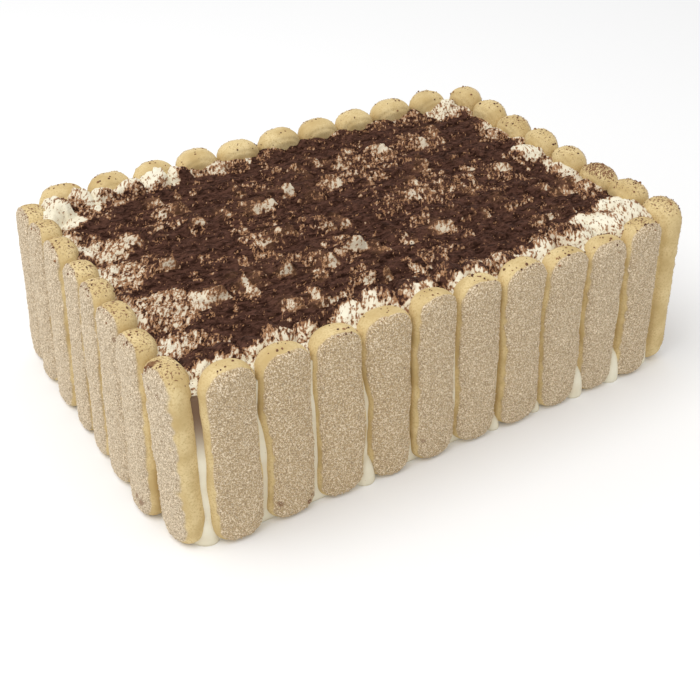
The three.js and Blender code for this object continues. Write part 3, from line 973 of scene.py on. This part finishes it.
def scallop_share(lane, x):
    """How far along its scallop a place in a lane lies, from 0 to 1."""
    return np.mod(x / SCALLOP_PITCH + lane * LANE_SHIFT, 1)


def lane_edge(lane, x):
    """Where a lane's steep front edge runs, from the first lane on."""
    drift = LANE_DRIFT * np.sin(2 * math.pi * x / DRIFT_WAVE + DRIFT_TURN * lane)
    return lane * LANE_PITCH + drift - SCALLOP_BULGE * np.sin(math.pi * scallop_share(lane, x))


def ripples(flat, size, seed):
    """Ripples that the spatula left, at a size: the share of their height, and how bare of cocoa they are."""
    scaled = flat / size
    bent_x = scaled[:, 0] + WARP * noise(scaled, WARP_CELL, (seed, 1))
    bent_y = scaled[:, 1] + WARP * noise(scaled, WARP_CELL, (seed, 2))
    bent_y += RAGGED * noise(scaled, RAGGED_CELL, (seed, 3))
    bent_y -= FIRST_LANE / size
    lane = np.zeros(len(flat))
    for edge in range(1, round(LANES / size) + 1):
        lane += bent_y >= lane_edge(edge, bent_x)
    start, end = lane_edge(lane, bent_x), lane_edge(lane + 1, bent_x)
    across = np.clip((bent_y - start) / (end - start), 0, 1)
    share = scallop_share(lane, bent_x)
    rise = smoothstep(0, SCALLOP_RISE, share)
    fall = (1 - share) / (1 - SCALLOP_RISE)
    swept = SCALLOP_LEAST + (1 - SCALLOP_LEAST) * np.minimum(rise, fall)
    front = np.clip(across / LANE_RISE, 0, 1)
    trail = CREST_BARE * np.exp(-np.clip(across - LANE_RISE, 0, None) / TRAIL)
    bare = np.where(across < LANE_RISE, 1 - (1 - CREST_BARE) * front, trail)
    return swept * front * (1 - across), swept * bare


def ledges(flat):
    """Height of the ledges at a place, and how bare of cocoa they are."""
    rng = np.random.default_rng(seed=67)
    x, y = flat.T
    ragged_x, ragged_y = (LEDGE_RAGGED * noise(flat, LEDGE_CELL, (68, axis)) for axis in range(2))
    patchy = smoothstep(*LEDGE_PATCHY, noise(flat, LEDGE_PATCH, seed=69))
    torn = smoothstep(*LEDGE_TORN, noise(flat, LEDGE_CELL, seed=70))
    height, bare = np.zeros(len(x)), np.zeros(len(x))
    for numbers in LEDGES:
        place_x, place_y, wide, tall = np.array(numbers) * MM
        left_of_end = place_x + wide - x + ragged_x
        behind = y - place_y + ragged_y - rng.uniform(-LEDGE_TILT, LEDGE_TILT) * (x - place_x)
        inside = np.minimum(left_of_end, behind)
        swept = smoothstep(LEDGE_SWEEP[0] * wide, LEDGE_SWEEP[1] * wide, left_of_end)
        sunk = np.exp(-((np.maximum(behind, 0) / LEDGE_BACK) ** 2))
        height = np.maximum(height, tall * swept * sunk * smoothstep(0, LEDGE_STEP, inside))
        front = np.clip(inside / LEDGE_STEP, 0, 1)
        trail = LEDGE_FLECKED * patchy * np.clip(1 - (behind - LEDGE_STEP) / LEDGE_TRAIL, 0, 1)
        clean = LEDGE_BARE * sunk * torn * smoothstep(LEDGE_CLEAN, 0, front) * min(tall / LEDGE_FULL, 1)
        bare = np.maximum(bare, swept * np.maximum(trail, clean) * (inside > 0))
    return height, bare


def lobe_heights(flat):
    """Height of the lobes of cream behind the biscuits."""
    rng = np.random.default_rng(seed=74)
    ragged = LOBE_RAGGED * layered_noise(flat, LOBE_CELL, 72, LOBE_FINE)
    height = np.zeros(len(flat))
    for numbers in LOBES:
        *place, size, tall = np.array(numbers) * MM
        away_x, away_y = ((flat - place) / size).T
        far = np.hypot(away_x, away_y) + ragged
        tilt = rng.uniform(-LOBE_TILT, LOBE_TILT, 2)
        level = tall * (1 + tilt[0] * away_x + tilt[1] * away_y)
        height = np.maximum(height, level * np.sqrt(np.clip(1 - np.abs(far) ** LOBE_POWER, 0, None)))
    return height * (1 + LOBE_JAG * noise(flat, JAG_CELL, seed=75))


def top_relief(flat):
    """Height of the cream's top, how bare of cocoa it is, and how bare its ledges are."""
    x, y = flat.T
    crown = CROWN * np.cos(math.pi * x / CAKE_LENGTH) * np.cos(math.pi * y / CAKE_DEPTH)
    from_edge = (TOP_HALF - np.abs(flat)).min(axis=1)
    past = np.clip(1 - from_edge / TOP_ROLL, 0, 1)
    roll = TOP_DROP * (1 - np.sqrt(1 - past * past))
    lanes, lane_bare = ripples(flat, 1, seed=61)
    fine, fine_bare = ripples(flat, FINE_SIZE, seed=64)
    ledge_height, ledge_bare = ledges(flat)
    strokes = np.sin(2 * math.pi * y / STROKE_PITCH + STROKE_WANDER * noise(flat, STROKE_CELL, seed=65))
    height = SCALLOP_HEIGHT * lanes + FINE_HEIGHT * fine + STROKE_DEPTH * strokes + ledge_height
    height = np.maximum(height, lobe_heights(flat))
    lane_bare *= LANE_BARE * smoothstep(*LANE_PATCHY, noise(flat, LANE_CELL, seed=66))
    bare = np.maximum(np.maximum(lane_bare, FINE_BARE * fine_bare), ledge_bare)
    return TOP_BASE + crown + height - roll, bare, ledge_bare


def cocoa_cover(flat, bare, normals):
    """How much of the cream the cocoa hides: 1 where it hides all, below 0 where the cream is clean."""
    way = np.array(DUST_FROM) / np.linalg.norm(DUST_FROM)
    run = turned(flat, -FLECK_TURN)
    flames = FLAME_DEPTH * noise(run / (FLAME_WIDE, FLAME_LONG), 1, seed=86)
    caught = LEAST_CAUGHT + (1 - LEAST_CAUGHT) * smoothstep(*CATCH_SLOPES, normals @ way)
    inside = np.minimum(flat - FIELD_LOW, FIELD_HIGH - flat).min(axis=1)
    inside += FIELD_RAGGED * layered_noise(flat, FIELD_CELL, 81, FIELD_FINE)
    field = RIM_COVER + (1 - RIM_COVER) * smoothstep(-FIELD_SOFT, FIELD_SOFT, inside)
    clouds = layered_noise(flat, PATCH_CELL, 83, PATCH_FINE)
    thin = PATCH_DEPTH * smoothstep(*PATCH_SPAN, clouds)
    ragged = PATCH_RAGGED * noise(flat, PATCH_CELL / 2, seed=85)
    for *place, radius, most in BARE_PATCHES:
        away_x, away_y = (flat - np.array(place) * MM).T
        far = np.hypot(away_x, away_y) / (radius * MM) + ragged
        thin = np.maximum(thin, most * smoothstep(*PATCH_EDGE, far))
    cover = field * caught * (1 - thin)
    share = np.clip(bare * (1 + flames), 0, FULL_BARE) / FULL_BARE
    return cover + (CLEAN_COVER - cover) * share


def cream_top():
    """The rippled top of the cream, with how much cocoa lies on it."""
    bm = bmesh.new()
    bmesh.ops.create_grid(bm, x_segments=TOP_COLUMNS, y_segments=TOP_ROWS, size=1)
    rim = [edge for edge in bm.edges if edge.is_boundary]
    raise_made(bm, bmesh.ops.extrude_edge_only(bm, edges=rim), -1)
    underside = [edge for edge in bm.edges if edge.is_boundary]
    bmesh.ops.contextual_create(bm, geom=underside)
    bmesh.ops.recalc_face_normals(bm, faces=bm.faces[:])
    mesh = mesh_from(bm, "cream_top")

    points = get_points(mesh)
    under = points[:, 2] < -0.5
    flat = points[:, :2] * TOP_HALF
    # Squeezes the square corners of the grid into round ones.
    straight = TOP_HALF - CREAM_CORNER
    past = (np.abs(flat) - straight) / CREAM_CORNER
    in_corner = past.min(axis=1) > 0
    corner = past[in_corner]
    shrink = corner.max(axis=1) / np.linalg.norm(corner, axis=1)
    flat[in_corner] = np.sign(flat[in_corner]) * (straight + corner * CREAM_CORNER * shrink[:, None])
    height, bare, ledge_bare = top_relief(flat)
    z = np.where(under, TOP_UNDERSIDE, height)
    set_points(mesh, np.column_stack((flat, z)))
    cover = np.where(under, 0, cocoa_cover(flat, bare, get_normals(mesh)))
    z += POWDER_DEPTH * np.random.default_rng(seed=91).uniform(-1, 1, len(z)) * np.clip(cover, 0, 1)
    set_points(mesh, np.column_stack((flat, z)))
    set_attribute(mesh, "cocoa", cover)
    # Brown on the bare ledges: partly a thin film of cocoa, partly painted shade on their fronts.
    set_attribute(mesh, "brown", LEDGE_BROWN * ledge_bare)
    mesh.shade_smooth()
    return mesh


class CAKE_OT_cream(bpy.types.Operator):
    """Fills the cake with cream, ripples its top and dusts that with cocoa."""

    bl_idname = "cake.cream"
    bl_label = "Cream"

    def execute(self, context):
        finish = cream_finish(context.scene.cake_cream, context.scene.cake_cocoa)
        add_piece("cream_block", cream_block(), finish, "cream", "cream_cake")
        add_piece("cream_top", cream_top(), finish, "cream", "cream_cake")
        return {"FINISHED"}


# Cocoa


def pick(points, likely, number, rng):
    """Some of the points at random, by how likely each one is."""
    return points[rng.choice(len(points), number, replace=False, p=likely / likely.sum())]


def specks_on_cream(number, rng):
    """Places on the cream's top where single specks of cocoa lie, most where the cover is half done."""
    mesh = bpy.data.objects["cream_top"].data
    points = get_points(mesh)
    cover = get_attribute(mesh, "cocoa")
    likely = SPECK_LEAST + np.exp(-(((cover - SPECK_COVER) / SPECK_SPREAD) ** 2))
    return pick(points, np.where(points[:, 2] > TOP_UNDERSIDE + MM, likely, 0), number, rng)


def specks_on_biscuits(rng):
    """Places on the upper ends of the biscuits where specks of cocoa lie."""
    places = []
    for piece in biscuits():
        number = int(along_row(SPECK_NUMBERS, piece.name.split("_", 1)[1]))
        points = get_points(piece.data)
        normals = get_normals(piece.data)
        top = points[:, 2].max()
        near_top = smoothstep(top - SPECK_REACH[0], top - SPECK_REACH[1], points[:, 2])
        places.append(pick(points, np.clip(normals[:, 2], 0, 1) * near_top, number, rng))
    return np.concatenate(places)


class CAKE_OT_cocoa(bpy.types.Operator):
    """Scatters specks of cocoa over the cream and the ends of the ladyfingers."""

    bl_idname = "cake.cocoa"
    bl_label = "Cocoa specks"

    def execute(self, context):
        settings = context.scene.cake_cocoa
        rng = np.random.default_rng(seed=101)
        on_cream = specks_on_cream(settings.cream_specks, rng)
        on_biscuits = specks_on_biscuits(rng)
        places = np.concatenate((on_cream, on_biscuits))
        larger = np.repeat((1, BISCUIT_SPECK), (len(on_cream), len(on_biscuits)))[:, None]
        sizes = settings.speck_size / 2 * larger * rng.uniform(*SPECK_SIZES, (len(places), 1))
        sizes = sizes * rng.uniform(*SPECK_SHAPES, (len(places), 3))
        speck = simple_mesh("speck", bmesh.ops.create_icosphere, subdivisions=1, radius=1)
        mesh = scatter("cocoa_specks", speck, places, sizes, rng)
        add_piece("cocoa_specks", mesh, cocoa_finish(settings), "cocoa")
        return {"FINISHED"}


# Stage


class CAKE_OT_stage(bpy.types.Operator):
    """Sets the floor, the light and the camera."""

    bl_idname = "cake.stage"
    bl_label = "Stage"

    def execute(self, context):
        settings = context.scene.cake_stage
        scene = context.scene
        square = simple_mesh("floor", bmesh.ops.create_grid, x_segments=1, y_segments=1, size=FLOOR_SIZE)
        floor = bpy.data.objects.new("floor", square)
        finish = Finish("floor", roughness=0.9, specular=0)
        square.materials.append(finish.paint((*settings.floor, 1)))
        scene.collection.objects.link(floor)

        world = bpy.data.worlds.new("studio")
        world.use_nodes = True
        sky = world.node_tree.nodes["Background"]
        sky.inputs["Color"].default_value = (1, 1, 1, 1)
        sky.inputs["Strength"].default_value = settings.sky
        scene.world = world
        lamp = bpy.data.lights.new("key", "AREA")
        lamp.energy = settings.key
        lamp.size = settings.key_size
        key = bpy.data.objects.new("key", lamp)
        key.location = LAMP_PLACE
        key.rotation_euler = (-key.location).to_track_quat("-Z", "Y").to_euler()
        scene.collection.objects.link(key)
        scene.view_settings.view_transform = "Standard"

        lens = bpy.data.cameras.new("camera")
        lens.lens = VIEW_LENS
        lens.sensor_width = VIEW_SENSOR
        camera = bpy.data.objects.new("camera", lens)
        turn = Matrix()
        for degrees, axis in VIEW_TURNS:
            turn = turn @ Matrix.Rotation(math.radians(degrees), 4, axis)
        camera.matrix_world = Matrix.Translation(VIEW_PLACE) @ turn
        scene.collection.objects.link(camera)
        scene.camera = camera
        return {"FINISHED"}


OPERATORS = (
    CAKE_OT_ladyfingers,
    CAKE_OT_sugar,
    CAKE_OT_cream,
    CAKE_OT_cocoa,
    CAKE_OT_stage,
)


class CAKE_PT_panel(bpy.types.Panel):
    """The cake's pieces and their settings."""

    bl_label = "Tiramisu sheet cake"
    bl_idname = "CAKE_PT_panel"
    bl_space_type = "VIEW_3D"
    bl_region_type = "UI"
    bl_category = "Cake"

    def draw(self, context):
        for operator in OPERATORS:
            self.layout.operator(operator.bl_idname)
        for name, group in SETTINGS.items():
            box = self.layout.box()
            box.label(text=name.capitalize())
            settings = getattr(context.scene, f"cake_{name}")
            for field in group.__annotations__:
                box.prop(settings, field)


CLASSES = (*SETTINGS.values(), *OPERATORS, CAKE_PT_panel)


def register():
    """Adds the cake's settings, operators and panel to Blender."""
    for item in CLASSES:
        bpy.utils.register_class(item)
    for name, group in SETTINGS.items():
        setattr(bpy.types.Scene, f"cake_{name}", PointerProperty(type=group))


def unregister():
    """Takes them out again."""
    for name in SETTINGS:
        delattr(bpy.types.Scene, f"cake_{name}")
    for item in reversed(CLASSES):
        bpy.utils.unregister_class(item)


def main():
    """Makes the whole cake."""
    register()
    bpy.ops.cake.ladyfingers()
    bpy.ops.cake.sugar()
    bpy.ops.cake.cream()
    bpy.ops.cake.cocoa()
    bpy.ops.cake.stage()


if __name__ == "__main__":
    main()
